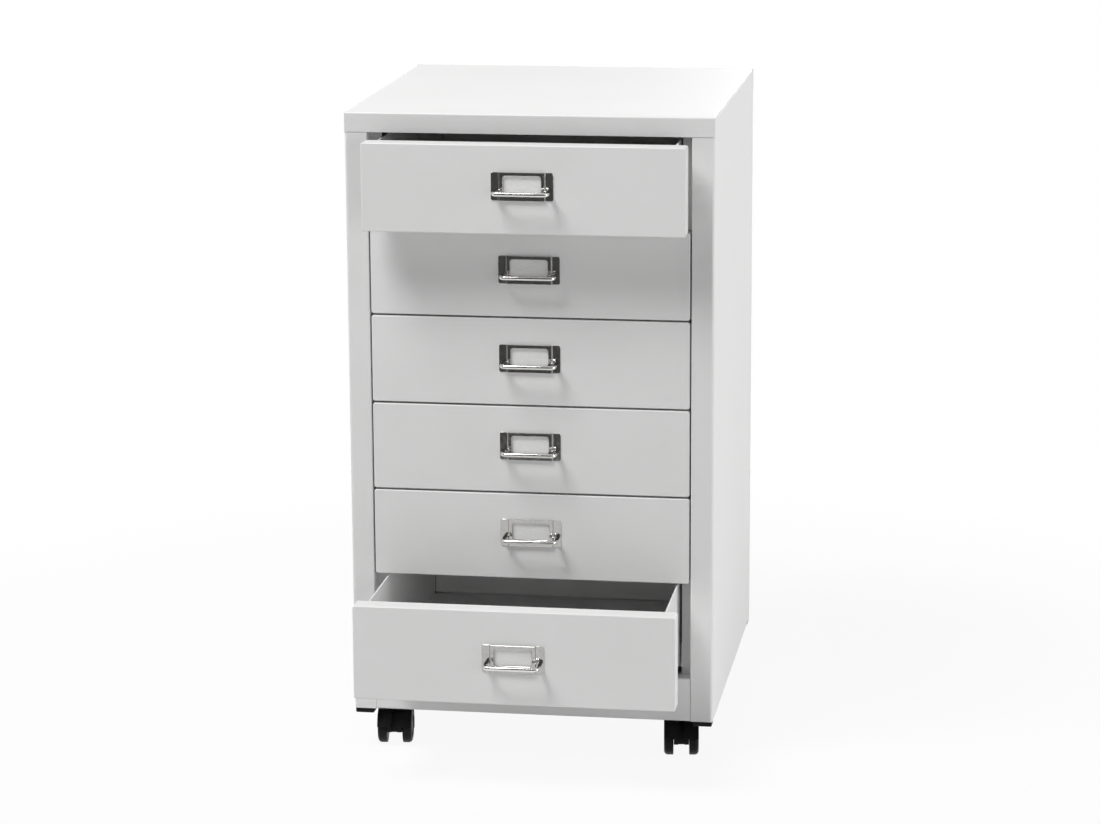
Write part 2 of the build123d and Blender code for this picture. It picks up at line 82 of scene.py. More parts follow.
class NodeBench:
    """One material's nodes, with short calls that add and join them."""

    def __init__(self, name: str) -> None:
        """Start a material whose surface is one principled shader.

        Args:
            name: The material's name.
        """
        self.material = bpy.data.materials.new(name)
        self.material.use_nodes = True
        self.tree = self.material.node_tree
        self.tree.nodes.clear()
        self.shader = self.tree.nodes.new("ShaderNodeBsdfPrincipled")
        output = self.tree.nodes.new("ShaderNodeOutputMaterial")
        self.join(self.shader.outputs["BSDF"], output.inputs["Surface"])
        self.place = self.tree.nodes.new("ShaderNodeTexCoord").outputs["Object"]
        self.normal: bpy.types.NodeSocket | None = None

    def join(self, source: bpy.types.NodeSocket, target: bpy.types.NodeSocket) -> None:
        """Link one socket to another."""
        self.tree.links.new(source, target)

    def stretched(self, scale: Point) -> bpy.types.NodeSocket:
        """Give the object's coordinates stretched along its axes.

        Args:
            scale: Factor along each axis.

        Returns:
            The stretched coordinates.
        """
        mapping = self.tree.nodes.new("ShaderNodeMapping")
        mapping.inputs["Scale"].default_value = scale
        self.join(self.place, mapping.inputs["Vector"])
        return mapping.outputs["Vector"]

    def noise(
        self, size: float, detail: float, place: bpy.types.NodeSocket | None = None
    ) -> bpy.types.NodeSocket:
        """Add soft noise.

        Args:
            size: Width of one blotch, in metres.
            detail: How many finer layers are mixed in.
            place: Coordinates to read, or None for the object's own.

        Returns:
            The noise value, from 0 to 1.
        """
        node = self.tree.nodes.new("ShaderNodeTexNoise")
        node.inputs["Scale"].default_value = 1.0 / size
        node.inputs["Detail"].default_value = detail
        self.join(place or self.place, node.inputs["Vector"])
        return node.outputs["Fac"]

    def grains(self, size: float) -> bpy.types.NodeSocket:
        """Add a field of cells and give the distance to each cell's middle.

        Args:
            size: Width of one cell, in metres.

        Returns:
            The distance, from 0 in the middle of a cell.
        """
        node = self.tree.nodes.new("ShaderNodeTexVoronoi")
        node.inputs["Scale"].default_value = 1.0 / size
        self.join(self.place, node.inputs["Vector"])
        return node.outputs["Distance"]

    def shades(self, factor: bpy.types.NodeSocket, deep: Colour, pale: Colour) -> None:
        """Colour the surface between two shades.

        Args:
            factor: What chooses between them.
            deep: Shade where the factor is low.
            pale: Shade where the factor is high.
        """
        ramp = self.tree.nodes.new("ShaderNodeValToRGB")
        ramp.color_ramp.elements[0].position = LOW_FACTOR
        ramp.color_ramp.elements[1].position = HIGH_FACTOR
        ramp.color_ramp.elements[0].color = deep
        ramp.color_ramp.elements[1].color = pale
        self.join(factor, ramp.inputs["Fac"])
        self.join(ramp.outputs["Color"], self.shader.inputs["Base Color"])

    def sheen_range(self, factor: bpy.types.NodeSocket, low: float, high: float) -> None:
        """Vary the roughness between two values.

        Args:
            factor: What chooses between them.
            low: Roughness where the factor is low.
            high: Roughness where the factor is high.
        """
        spread = self.tree.nodes.new("ShaderNodeMapRange")
        spread.inputs["From Min"].default_value = LOW_FACTOR
        spread.inputs["From Max"].default_value = HIGH_FACTOR
        spread.inputs["To Min"].default_value = low
        spread.inputs["To Max"].default_value = high
        self.join(factor, spread.inputs["Value"])
        self.join(spread.outputs["Result"], self.shader.inputs["Roughness"])

    def relief(self, height: bpy.types.NodeSocket, depth: float, strength: float) -> None:
        """Add a layer of fine relief on top of the layers so far.

        Args:
            height: What raises the surface.
            depth: Height of the relief, in metres.
            strength: How much of it shows, from 0 to 1.
        """
        bump = self.tree.nodes.new("ShaderNodeBump")
        bump.inputs["Distance"].default_value = depth
        bump.inputs["Strength"].default_value = strength
        self.join(height, bump.inputs["Height"])
        if self.normal is not None:
            self.join(self.normal, bump.inputs["Normal"])
        self.normal = bump.outputs["Normal"]

    def done(self, metallic: float = 0.0, specular: float = 0.5) -> bpy.types.Material:
        """Set what is the same all over and close the material.

        Args:
            metallic: 1 for bare metal.
            specular: Level of the mirror layer.

        Returns:
            The finished material.
        """
        self.shader.inputs["Metallic"].default_value = metallic
        self.shader.inputs["Specular IOR Level"].default_value = specular
        if self.normal is not None:
            self.join(self.normal, self.shader.inputs["Normal"])
        return self.material


@dataclass(frozen=True)
class PowderCoat:
    """Baked powder paint: a clouded pale body under a fine orange-peel skin."""

    name: str
    deep: Colour
    pale: Colour
    cloud: float = 0.12
    cloud_detail: float = 3.0
    peel: float = 0.0016
    peel_depth: float = 0.00003
    peel_strength: float = 0.35
    grain: float = 0.0004
    grain_depth: float = 0.0000075
    grain_strength: float = 0.2
    skin_detail: float = 1.0
    smoothest: float = 0.38
    roughest: float = 0.47

    def material(self) -> bpy.types.Material:
        """Make the paint."""
        bench = NodeBench(self.name)
        clouds = bench.noise(self.cloud, self.cloud_detail)
        bench.shades(clouds, self.deep, self.pale)
        bench.sheen_range(clouds, self.smoothest, self.roughest)
        bench.relief(bench.noise(self.peel, self.skin_detail), self.peel_depth, self.peel_strength)
        bench.relief(bench.noise(self.grain, self.skin_detail), self.grain_depth, self.grain_strength)
        return bench.done()


@dataclass(frozen=True)
class BrightPlate:
    """Polished plating: mirror metal with the faint waves of a stamped or drawn blank."""

    name: str
    deep: Colour
    pale: Colour
    smoothest: float
    roughest: float
    wave: float = 0.011
    wave_detail: float = 1.0
    wave_depth: float = 0.00006
    wave_strength: float = 0.25
    haze: float = 0.004
    haze_detail: float = 4.0

    def material(self) -> bpy.types.Material:
        """Make the plating."""
        bench = NodeBench(self.name)
        haze = bench.noise(self.haze, self.haze_detail)
        bench.shades(haze, self.deep, self.pale)
        bench.sheen_range(haze, self.smoothest, self.roughest)
        bench.relief(bench.noise(self.wave, self.wave_detail), self.wave_depth, self.wave_strength)
        return bench.done(metallic=1.0)


@dataclass(frozen=True)
class ZincPlate:
    """Dull passivated zinc with small crystal patches."""

    name: str = "zinc_plate"
    deep: Colour = (0.42, 0.43, 0.44, 1.0)
    pale: Colour = (0.62, 0.63, 0.64, 1.0)
    crystal: float = 0.006
    crystal_depth: float = 0.00002
    crystal_strength: float = 0.3
    streak: Point = (1.0, 0.08, 1.0)
    streak_detail: float = 3.0
    smoothest: float = 0.3
    roughest: float = 0.46

    def material(self) -> bpy.types.Material:
        """Make the plating."""
        bench = NodeBench(self.name)
        patches = bench.grains(self.crystal)
        bench.shades(patches, self.deep, self.pale)
        streaks = bench.noise(self.crystal, self.streak_detail, bench.stretched(self.streak))
        bench.sheen_range(streaks, self.smoothest, self.roughest)
        bench.relief(patches, self.crystal_depth, self.crystal_strength)
        return bench.done(metallic=1.0)


@dataclass(frozen=True)
class CardStock:
    """Uncoated white card with visible fibres."""

    name: str = "card_stock"
    deep: Colour = (0.78, 0.78, 0.765, 1.0)
    pale: Colour = (0.86, 0.86, 0.85, 1.0)
    fibre: float = 0.0009
    fibre_detail: float = 4.0
    fibre_depth: float = 0.00002
    fibre_strength: float = 0.3
    lay: Point = (0.25, 1.0, 1.0)
    smoothest: float = 0.82
    roughest: float = 0.94
    specular: float = 0.25

    def material(self) -> bpy.types.Material:
        """Make the card."""
        bench = NodeBench(self.name)
        fibres = bench.noise(self.fibre, self.fibre_detail, bench.stretched(self.lay))
        bench.shades(fibres, self.deep, self.pale)
        bench.sheen_range(fibres, self.smoothest, self.roughest)
        bench.relief(fibres, self.fibre_depth, self.fibre_strength)
        return bench.done(specular=self.specular)


@dataclass(frozen=True)
class MouldedPlastic:
    """Black moulded plastic with a spark-eroded grain."""

    name: str
    deep: Colour = (0.006, 0.006, 0.0062, 1.0)
    pale: Colour = (0.013, 0.013, 0.0134, 1.0)
    grain: float = 0.0005
    grain_depth: float = 0.00003
    grain_strength: float = 0.35
    cloud: float = 0.02
    cloud_detail: float = 4.0
    smoothest: float = 0.38
    roughest: float = 0.52
    specular: float = 0.12

    def material(self) -> bpy.types.Material:
        """Make the plastic."""
        bench = NodeBench(self.name)
        clouds = bench.noise(self.cloud, self.cloud_detail)
        bench.shades(clouds, self.deep, self.pale)
        bench.sheen_range(clouds, self.smoothest, self.roughest)
        bench.relief(bench.grains(self.grain), self.grain_depth, self.grain_strength)
        return bench.done(specular=self.specular)


class Finishes:
    """All finishes of the pedestal, each made once."""

    def __init__(self) -> None:
        """Mix the paints, platings and plastics."""
        self.paint = PowderCoat(
            "white_powder_coat", deep=(0.748, 0.748, 0.744, 1.0), pale=(0.772, 0.772, 0.769, 1.0)
        ).material()
        # Same white powder coat, made lighter for the trays to brighten their shaded insides: painted light.
        self.lit_tray_paint = PowderCoat(
            "tray_powder_coat_lit", deep=(0.775, 0.775, 0.77, 1.0), pale=(0.8, 0.8, 0.797, 1.0)
        ).material()
        self.nickel = BrightPlate(
            "bright_nickel_plate",
            deep=(0.41, 0.405, 0.392, 1.0),
            pale=(0.48, 0.474, 0.46, 1.0),
            smoothest=0.05,
            roughest=0.13,
        ).material()
        self.wire = BrightPlate(
            "bright_nickel_wire",
            deep=(0.70, 0.69, 0.665, 1.0),
            pale=(0.78, 0.77, 0.745, 1.0),
            smoothest=0.02,
            roughest=0.05,
            wave_depth=0.000002,
        ).material()
        self.zinc = ZincPlate().material()
        self.card = CardStock().material()
        self.plastic = MouldedPlastic("moulded_black").material()
        self.tread = MouldedPlastic(
            "wheel_black", pale=(0.012, 0.012, 0.0123, 1.0), smoothest=0.34, roughest=0.46
        ).material()


def dress(node: str, finish: bpy.types.Material) -> None:
    """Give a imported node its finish.

    Args:
        node: The node's name.
        finish: The material for all its faces.
    """
    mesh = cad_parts[node].data
    mesh.materials.clear()
    mesh.materials.append(finish)
    log.info("dressed %s in %s", node, finish.name)


def settle(bm: bmesh.types.BMesh, name: str, finish: bpy.types.Material, sharp: float) -> bpy.types.Object:
    """Close a mesh and put it into the scene at the origin.

    Args:
        bm: The finished mesh, which is freed.
        name: The piece's name.
        finish: The material for all its faces.
        sharp: Angle in degrees past which an edge stays sharp.

    Returns:
        The new piece.
    """
    bmesh.ops.remove_doubles(bm, verts=bm.verts, dist=WELD_DISTANCE)
    bmesh.ops.recalc_face_normals(bm, faces=bm.faces)
    mesh = bpy.data.meshes.new(name)
    bm.to_mesh(mesh)
    bm.free()
    mesh.shade_smooth()
    mesh.set_sharp_from_angle(angle=math.radians(sharp))
    mesh.materials.append(finish)
    piece = bpy.data.objects.new(name, mesh)
    bpy.context.scene.collection.objects.link(piece)
    log.info("built %s with %d faces", name, len(mesh.polygons))
    return piece


def soften(bm: bmesh.types.BMesh, edges: Iterable[bmesh.types.BMEdge], offset: float, segments: int) -> None:
    """Round chosen edges.

    Args:
        bm: The mesh.
        edges: The edges to round.
        offset: How far the rounding reaches.
        segments: Steps along the rounding.
    """
    bmesh.ops.bevel(
        bm,
        geom=list(edges),
        offset=offset,
        offset_type="OFFSET",
        segments=segments,
        profile=0.5,
        affect="EDGES",
        material=-1,
    )


def sharp_edges(bm: bmesh.types.BMesh, angle: float) -> Ring:
    """Find the edges whose two faces meet at a wide angle.

    Args:
        bm: The mesh.
        angle: Least angle between the faces' normals, in degrees.

    Returns:
        Those edges.
    """
    limit = math.radians(angle)
    return [edge for edge in bm.edges if len(edge.link_faces) == 2 and edge.calc_face_angle() > limit]


@dataclass
class LabelPlate:
    """Stamped card holder of one drawer: flat wings, a raised pocket with a window and a lip at its foot."""

    number: int
    sheet: float = 0.0008
    pocket_half: float = 0.024
    bend_run: float = 0.0007
    bend_steps: int = 10
    bend_support: float = 0.0002
    window_side: float = 0.0038
    window_height: float = 0.0188
    window_drop: float = 0.0032
    window_radius: float = 0.003
    corner: float = 0.002
    corner_steps: int = 6
    edge: float = 0.0001
    edge_angle: float = 60.0
    sharp_angle: float = 30.0

    def build(self, finishes: Finishes) -> bpy.types.Object:
        """Press the plate from a flat grid.

        Args:
            finishes: The pedestal's finishes.

        Returns:
            The plate.
        """
        node = f"drawer_{self.number}_label_plate"
        low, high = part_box(node)
        window = self.pocket_half - self.window_side
        window_top = high.z - self.window_drop
        window_bottom = window_top - self.window_height
        bm = bmesh.new()
        self.press(bm, low, high, [low.z, window_bottom, window_top, high.z])
        self.punch(bm, window, window_bottom, window_top)
        bmesh.ops.recalc_face_normals(bm, faces=bm.faces)
        bmesh.ops.solidify(bm, geom=list(bm.faces), thickness=self.sheet)
        furthest = max(vert.co.y for vert in bm.verts)
        bmesh.ops.translate(bm, verts=bm.verts, vec=(0.0, high.y - furthest, 0.0))
        self.round_corners(bm, window, (window_bottom, window_top), self.window_radius)
        self.round_corners(bm, high.x, (low.z, high.z), self.corner)
        soften(bm, sharp_edges(bm, self.edge_angle), self.edge, 1)
        self.add_lip(bm, low, high)
        piece = settle(bm, f"label_plate_{self.number}", finishes.nickel, self.sharp_angle)
        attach(piece, f"drawer_{self.number}")
        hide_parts(node)
        return piece

    def press(self, bm: bmesh.types.BMesh, low: Vector, high: Vector, rows: list[float]) -> None:
        """Lay out the blank and raise its pocket.

        Args:
            bm: An empty mesh.
            low: Lowest corner of the plate.
            high: Highest corner of the plate.
            rows: Heights of the blank's lines.
        """
        wing = high.y - self.sheet
        half = [(high.x, 0.0), (self.pocket_half + self.bend_run + self.bend_support, 0.0)]
        for step in range(self.bend_steps + 1):
            along = step / self.bend_steps
            rise = along * along * (3.0 - 2.0 * along)
            half.append((self.pocket_half + self.bend_run * (1.0 - 2.0 * along), rise))
        half.append((self.pocket_half - self.bend_run - self.bend_support, 1.0))
        half.append((self.pocket_half - self.window_side, 1.0))
        columns = [(-x, share) for x, share in half] + list(reversed(half))
        bmesh.ops.create_grid(bm, x_segments=len(columns) - 1, y_segments=len(rows) - 1, size=1.0)
        for vert in bm.verts:
            x, share = columns[round((vert.co.x + 1.0) / 2.0 * (len(columns) - 1))]
            z = rows[round((vert.co.y + 1.0) / 2.0 * (len(rows) - 1))]
            vert.co = (x, wing + share * (low.y - wing), z)

    @staticmethod
    def punch(bm: bmesh.types.BMesh, window: float, bottom: float, top: float) -> None:
        """Cut the window out of the pocket.

        Args:
            bm: The pressed blank.
            window: Half width of the window.
            bottom: Height of its lower edge.
            top: Height of its upper edge.
        """
        middles = [(face, face.calc_center_median()) for face in bm.faces]
        waste = [face for face, at in middles if abs(at.x) < window and bottom < at.z < top]
        bmesh.ops.delete(bm, geom=waste, context="FACES")

    def add_lip(self, bm: bmesh.types.BMesh, low: Vector, high: Vector) -> None:
        """Close the pocket's foot with the lip that the card stands on.

        Args:
            bm: The thickened plate.
            low: Lowest corner of the plate.
            high: Highest corner of the plate.
        """
        front = low.y + self.sheet / 2.0
        size = Vector((2.0 * self.pocket_half - self.sheet, high.y - front, self.sheet))
        spot = Vector((0.0, (high.y + front) / 2.0, low.z + self.sheet / 2.0))
        bmesh.ops.create_cube(bm, size=1.0, matrix=Matrix.LocRotScale(spot, None, size))

    def round_corners(self, bm: bmesh.types.BMesh, x: float, heights: Iterable[float], radius: float) -> None:
        """Round the four corners of a rectangle through the sheet.

        Args:
            bm: The thickened plate.
            x: Half width of the rectangle.
            heights: Its two heights.
            radius: Radius of the corners.
        """
        near = self.sheet / 8.0
        corners = []
        for edge in bm.edges:
            start, end = (vert.co for vert in edge.verts)
            through = abs(start.y - end.y) > self.sheet / 2.0
            straight = abs(start.x - end.x) < near and abs(start.z - end.z) < near
            at_side = abs(abs(start.x) - x) < near
            at_height = any(abs(start.z - height) < near for height in heights)
            if through and straight and at_side and at_height:
                corners.append(edge)
        soften(bm, corners, radius, self.corner_steps)


@dataclass
class WirePull:
    """Bent wire bail of one drawer, riveted through the plate."""

    number: int
    spacing: float = 0.0558
    bend: float = 0.005
    diameter: float = 0.0046
    sheet: float = 0.0008
    sides: int = 28
    bend_steps: int = 12
    sharp_angle: float = 60.0

    def build(self, finishes: Finishes) -> bpy.types.Object:
        """Bend the wire from one ring of its section.

        Args:
            finishes: The pedestal's finishes.

        Returns:
            The pull.
        """
        node = f"drawer_{self.number}_pull"
        low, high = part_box(node)
        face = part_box(f"drawer_{self.number}_front")[0].y
        root = face - self.sheet
        bar = low.y + self.diameter / 2.0
        height = (low.z + high.z) / 2.0
        leg = root - bar - self.bend
        half = self.spacing / 2.0
        bm = bmesh.new()
        stand = Matrix.Translation((-half, root, height)) @ Matrix.Rotation(QUARTER_TURN, 4, "X")
        bmesh.ops.create_circle(bm, segments=self.sides, radius=self.diameter / 2.0, matrix=stand)
        ring = list(bm.edges)
        first = list(ring)
        ring = self.run(bm, ring, Vector((0.0, -leg, 0.0)))
        ring = self.turn(bm, ring, Vector((self.bend - half, root - leg, height)))
        ring = self.run(bm, ring, Vector((self.spacing - 2.0 * self.bend, 0.0, 0.0)))
        ring = self.turn(bm, ring, Vector((half - self.bend, root - leg, height)))
        ring = self.run(bm, ring, Vector((0.0, leg, 0.0)))
        bmesh.ops.contextual_create(bm, geom=first)
        bmesh.ops.contextual_create(bm, geom=ring)
        piece = settle(bm, f"wire_pull_{self.number}", finishes.wire, self.sharp_angle)
        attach(piece, f"drawer_{self.number}")
        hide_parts(node)
        return piece

    def run(self, bm: bmesh.types.BMesh, ring: Ring, vec: Vector) -> Ring:
        """Draw the wire straight on.

        Args:
            bm: The wire so far.
            ring: The open ring at its end.
            vec: How far and which way.

        Returns:
            The new open ring.
        """
        drawn = bmesh.ops.extrude_edge_only(bm, edges=ring)["geom"]
        verts = [part for part in drawn if isinstance(part, bmesh.types.BMVert)]
        bmesh.ops.translate(bm, verts=verts, vec=vec)
        return self.edges_within(drawn, verts)

    def turn(self, bm: bmesh.types.BMesh, ring: Ring, centre: Vector) -> Ring:
        """Bend the wire a quarter turn about an upright line.

        Args:
            bm: The wire so far.
            ring: The open ring at its end.
            centre: Centre of the bend.

        Returns:
            The new open ring.
        """
        verts = list({vert for edge in ring for vert in edge.verts})
        spun = bmesh.ops.spin(
            bm,
            geom=verts + ring,
            cent=centre,
            axis=(0.0, 0.0, 1.0),
            dvec=(0.0, 0.0, 0.0),
            angle=QUARTER_TURN,
            steps=self.bend_steps,
            use_duplicate=False,
        )["geom_last"]
        last = [part for part in spun if isinstance(part, bmesh.types.BMVert)]
        return self.edges_within(spun, last)

    @staticmethod
    def edges_within(parts: Iterable[object], verts: list[bmesh.types.BMVert]) -> Ring:
        """Pick the edges whose two ends are both in a set of vertices."""
        known = set(verts)
        return [part for part in parts if isinstance(part, bmesh.types.BMEdge) and set(part.verts) <= known]


@dataclass
class CasterWheel:
    """One wheel of a twin caster: rounded tread, ring recess and a domed hub cap."""

    corner: str
    side: str
    radius: float = 0.0185
    thickness: float = 0.0102
    outer_edge: float = 0.0042
    inner_edge: float = 0.0009
    recess_radius: float = 0.0125
    recess_depth: float = 0.0012
    recess_draft: float = 0.0005
    cap_radius: float = 0.0065
    cap_rise: float = 0.0005
    cap_first_rise: float = 0.7
    hole_radius: float = 0.00255
    hole_depth: float = 0.00705
    hole_draft: float = 0.00001
    segments: int = 72
    outer_steps: int = 7
    inner_steps: int = 4
    sharp_angle: float = 42.0

    def build(self, finishes: Finishes) -> bpy.types.Object:
        """Turn the wheel and seat it on its axle.

        Args:
            finishes: The pedestal's finishes.

        Returns:
            The wheel.
        """
        node = f"caster_{self.corner}_wheel_{self.side}"
        other = f"caster_{self.corner}_wheel_{'b' if self.side == 'a' else 'a'}"
        middle, out = self.seat(node, self.centre(node) - self.centre(other))
        bm = bmesh.new()
        bmesh.ops.create_cone(
            bm,
            cap_ends=True,
            cap_tris=False,
            segments=self.segments,
            radius1=self.radius,
            radius2=self.radius,
            depth=self.thickness,
        )
        self.round_rims(bm)
        self.sink_face(bm)
        self.drill(bm)
        facing = UP.rotation_difference(out).to_matrix().to_4x4()
        bmesh.ops.transform(bm, matrix=Matrix.Translation(middle) @ facing, verts=bm.verts)
        piece = settle(bm, f"wheel_{self.corner}_{self.side}", finishes.tread, self.sharp_angle)
        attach(piece, f"wheel_{self.corner}_{self.side}")
        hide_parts(node)
        return piece

    @staticmethod
    def centre(node: str) -> Vector:
        """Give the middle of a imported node's box."""
        low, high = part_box(node)
        return (low + high) / 2.0

    @staticmethod
    def seat(node: str, outward: Vector) -> tuple[Vector, Vector]:
        """Find a packed wheel's middle and the way its outer face looks.

        Args:
            node: The wheel's node.
            outward: Roughly the way out, which tells the two faces apart.

        Returns:
            The middle of the wheel and the exact way out.
        """
        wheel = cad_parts[node]
        rough = outward.normalized()
        sides = [face for face in wheel.data.polygons if abs(face.normal.dot(rough)) > FACING]
        out = max(sides, key=lambda face: face.area).normal.copy()
        out.z = 0.0
        out.normalize()
        if out.dot(rough) < 0.0:
            out.negate()
        middle = Vector()
        for way in (out, out.cross(UP), UP):
            reach = [vert.co.dot(way) for vert in wheel.data.vertices]
            middle += way * (min(reach) + max(reach)) / 2.0
        return middle, out

    def round_rims(self, bm: bmesh.types.BMesh) -> None:
        """Round the outer rim widely and the inner rim a little.

        Args:
            bm: The plain disc, with its outer face up.
        """
        half = self.thickness / 2.0
        rims = ((half, self.outer_edge, self.outer_steps), (-half, self.inner_edge, self.inner_steps))
        for height, offset, steps in rims:
            level = {vert for vert in bm.verts if abs(vert.co.z - height) < WELD_DISTANCE}
            rim = [edge for edge in bm.edges if level.issuperset(edge.verts)]
            soften(bm, rim, offset, steps)

    def sink_face(self, bm: bmesh.types.BMesh) -> None:
        """Sink the ring recess into the outer face and raise the hub cap.

        Args:
            bm: The rounded disc, with its outer face up.
        """
        face = max(bm.faces, key=lambda each: each.calc_center_median().z)
        flat = self.radius - self.outer_edge
        steps = (
            (flat - self.recess_radius, 0.0),
            (self.recess_draft, -self.recess_depth),
            (self.recess_radius - self.cap_radius - 2.0 * self.recess_draft, 0.0),
            (self.recess_draft, self.recess_depth - self.cap_rise),
            (self.cap_radius / 3.0, self.cap_rise * self.cap_first_rise),
            (self.cap_radius / 3.0, self.cap_rise * (1.0 - self.cap_first_rise)),
        )
        for inset, rise in steps:
            bmesh.ops.inset_region(bm, faces=[face], thickness=inset, depth=rise, use_even_offset=False)


    def drill(self, bm: bmesh.types.BMesh) -> None:
        """Sink the axle's blind hole into the inner face.

        Args:
            bm: The wheel, with its outer face up.
        """
        face = min(bm.faces, key=lambda each: each.calc_center_median().z)
        flat = self.radius - self.inner_edge
        for inset, rise in ((flat - self.hole_radius, 0.0), (self.hole_draft, -self.hole_depth)):
            bmesh.ops.inset_region(bm, faces=[face], thickness=inset, depth=rise, use_even_offset=False)


@dataclass
class BackScrews:
    """Pan-head screws of the back panel, with cross recesses."""

    head_radius: float = 0.00325
    head_height: float = 0.0018
    recess_depth: float = 0.0011
    slot_half: float = 0.00045
    arm: float = 0.0017
    grid: int = 5
    crown_share: float = 0.72
    rolls: tuple[tuple[float, float], ...] = ((0.9, 0.2), (1.0, 0.5), (1.0, 1.0))
    sharp_angle: float = 40.0

    def build(self, finishes: Finishes) -> bpy.types.Object:
        """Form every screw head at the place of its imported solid.

        Args:
            finishes: The pedestal's finishes.

        Returns:
            All the heads as one piece.
        """
        node = "carcass_screws"
        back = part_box(node)[1].y
        bm = bmesh.new()
        for place in self.places(node):
            self.head(bm, Vector((place.x, back, place.z)))
        piece = settle(bm, "back_screws", finishes.zinc, self.sharp_angle)
        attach(piece, "carcass")
        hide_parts(node)
        return piece

    def places(self, node: str) -> list[Vector]:
        """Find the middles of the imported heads.

        Args:
            node: The node that holds the screws.

        Returns:
            One point for each screw.
        """
        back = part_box(node)[1].y
        crowns = back - self.head_height / 4.0
        rims = [vert.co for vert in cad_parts[node].data.vertices if vert.co.y > crowns]
        groups: list[list[Vector]] = []
        for point in rims:
            for group in groups:
                if (group[0] - point).length < 3.0 * self.head_radius:
                    group.append(point)
                    break
            else:
                groups.append([point])
        middles = []
        for group in groups:
            xs = [point.x for point in group]
            zs = [point.z for point in group]
            middles.append(Vector(((min(xs) + max(xs)) / 2.0, back, (min(zs) + max(zs)) / 2.0)))
        return middles

    def head(self, bm: bmesh.types.BMesh, crown: Vector) -> None:
        """Form one head from a small grid whose rim becomes a circle.

        Args:
            bm: The mesh of all heads.
            crown: The middle of the head's outer face.
        """
        made = bmesh.ops.create_grid(bm, x_segments=self.grid, y_segments=self.grid, size=1.0)["verts"]
        crown_radius = self.head_radius * self.crown_share
        steps = (-1.0, -self.arm / crown_radius, -self.slot_half / crown_radius)
        stations = list(steps) + [-step for step in reversed(steps)]
        rim = [vert for vert in made if vert.is_boundary]
        for vert in made:
            column = round((vert.co.x + 1.0) / 2.0 * self.grid)
            row = round((vert.co.y + 1.0) / 2.0 * self.grid)
            vert.co = (stations[column] * crown_radius, 0.0, stations[row] * crown_radius)
        for vert in rim:
            vert.co = vert.co.normalized() * crown_radius
        faces = {face for vert in made for face in vert.link_faces}
        cross = []
        for face in faces:
            middle = face.calc_center_median()
            inside = max(abs(middle.x), abs(middle.z)) < self.arm
            if inside and min(abs(middle.x), abs(middle.z)) < self.slot_half:
                cross.append(face)
        sunk = bmesh.ops.extrude_face_region(bm, geom=cross)["geom"]
        bmesh.ops.delete(bm, geom=cross, context="FACES")
        floor = [part for part in sunk if isinstance(part, bmesh.types.BMVert)]
        bmesh.ops.translate(bm, verts=floor, vec=(0.0, -self.recess_depth, 0.0))
        ring = [edge for edge in {each for vert in rim for each in vert.link_edges} if edge.is_boundary]
        for radius_share, drop_share in self.rolls:
            drawn = bmesh.ops.extrude_edge_only(bm, edges=ring)["geom"]
            skirt = [part for part in drawn if isinstance(part, bmesh.types.BMVert)]
            ring = WirePull.edges_within(drawn, skirt)
            for vert in skirt:
                flat = Vector((vert.co.x, 0.0, vert.co.z)).normalized() * self.head_radius * radius_share
                vert.co = (flat.x, -self.head_height * drop_share, flat.z)
        bmesh.ops.contextual_create(bm, geom=ring)
        whole = set(made) | set(floor)
        grown = list(whole)
        while grown:
            vert = grown.pop()
            for edge in vert.link_edges:
                other = edge.other_vert(vert)
                if other not in whole:
                    whole.add(other)
                    grown.append(other)
        bmesh.ops.translate(bm, verts=[vert for vert in whole if vert.is_valid], vec=crown)


@dataclass
class Carcass:
    """Outer sheet-metal body with its runners, foot caps and caster sockets."""

    painted: tuple[str, ...] = (
        "side_panel_left",
        "side_panel_right",
        "top_panel",
        "bottom_panel",
        "back_panel",
    )
    plated: tuple[str, ...] = ("runner_rails_left", "runner_rails_right", "caster_sockets")

    def dress(self, finishes: Finishes) -> None:
        """Paint the panels and finish the runners, sockets, foot caps and screws."""
        for node in self.painted:
            dress(node, finishes.paint)
        for node in self.plated:
            dress(node, finishes.zinc)
        dress("foot_caps", finishes.plastic)
        BackScrews().build(finishes)


@dataclass
class Drawer:
    """One drawer with its tray, front, card, plate and pull."""

    number: int

    def dress(self, finishes: Finishes) -> None:
        """Paint the drawer and fit its holder and pull."""
        # The trays take the lighter copy of the paint, which brightens their shaded insides: painted light.
        dress(f"drawer_{self.number}_tray", finishes.lit_tray_paint)
        dress(f"drawer_{self.number}_front", finishes.paint)
        dress(f"drawer_{self.number}_card", finishes.card)
        LabelPlate(self.number).build(finishes)
        WirePull(self.number).build(finishes)


@dataclass
class Caster:
    """One swivelling twin-wheel caster."""

    corner: str

    def dress(self, finishes: Finishes) -> None:
        """Finish the hood, stem and axle and make the two wheels."""
        dress(f"caster_{self.corner}_hood", finishes.plastic)
        dress(f"caster_{self.corner}_stem", finishes.zinc)
        dress(f"caster_{self.corner}_axle", finishes.zinc)
        for side in "ab":
            CasterWheel(self.corner, side).build(finishes)


@dataclass(frozen=True)
class Softbox:
    """A square studio light that faces the object."""

    name: str
    towards: Point
    distance: float
    size: float
    watts: float
    mirrored: bool = True
    aim: Point = (0.0, 0.07, 0.36)

    def hang(self) -> None:
        """Put the light into the scene."""
        lamp = bpy.data.lights.new(self.name, "AREA")
        lamp.shape = "SQUARE"
        lamp.size = self.size
        lamp.energy = self.watts
        holder = bpy.data.objects.new(self.name, lamp)
        way = Vector(self.towards).normalized()
        holder.location = Vector(self.aim) + way * self.distance
        holder.rotation_euler = way.to_track_quat("Z", "Y").to_euler()
        holder.visible_glossy = self.mirrored
        bpy.context.scene.collection.objects.link(holder)


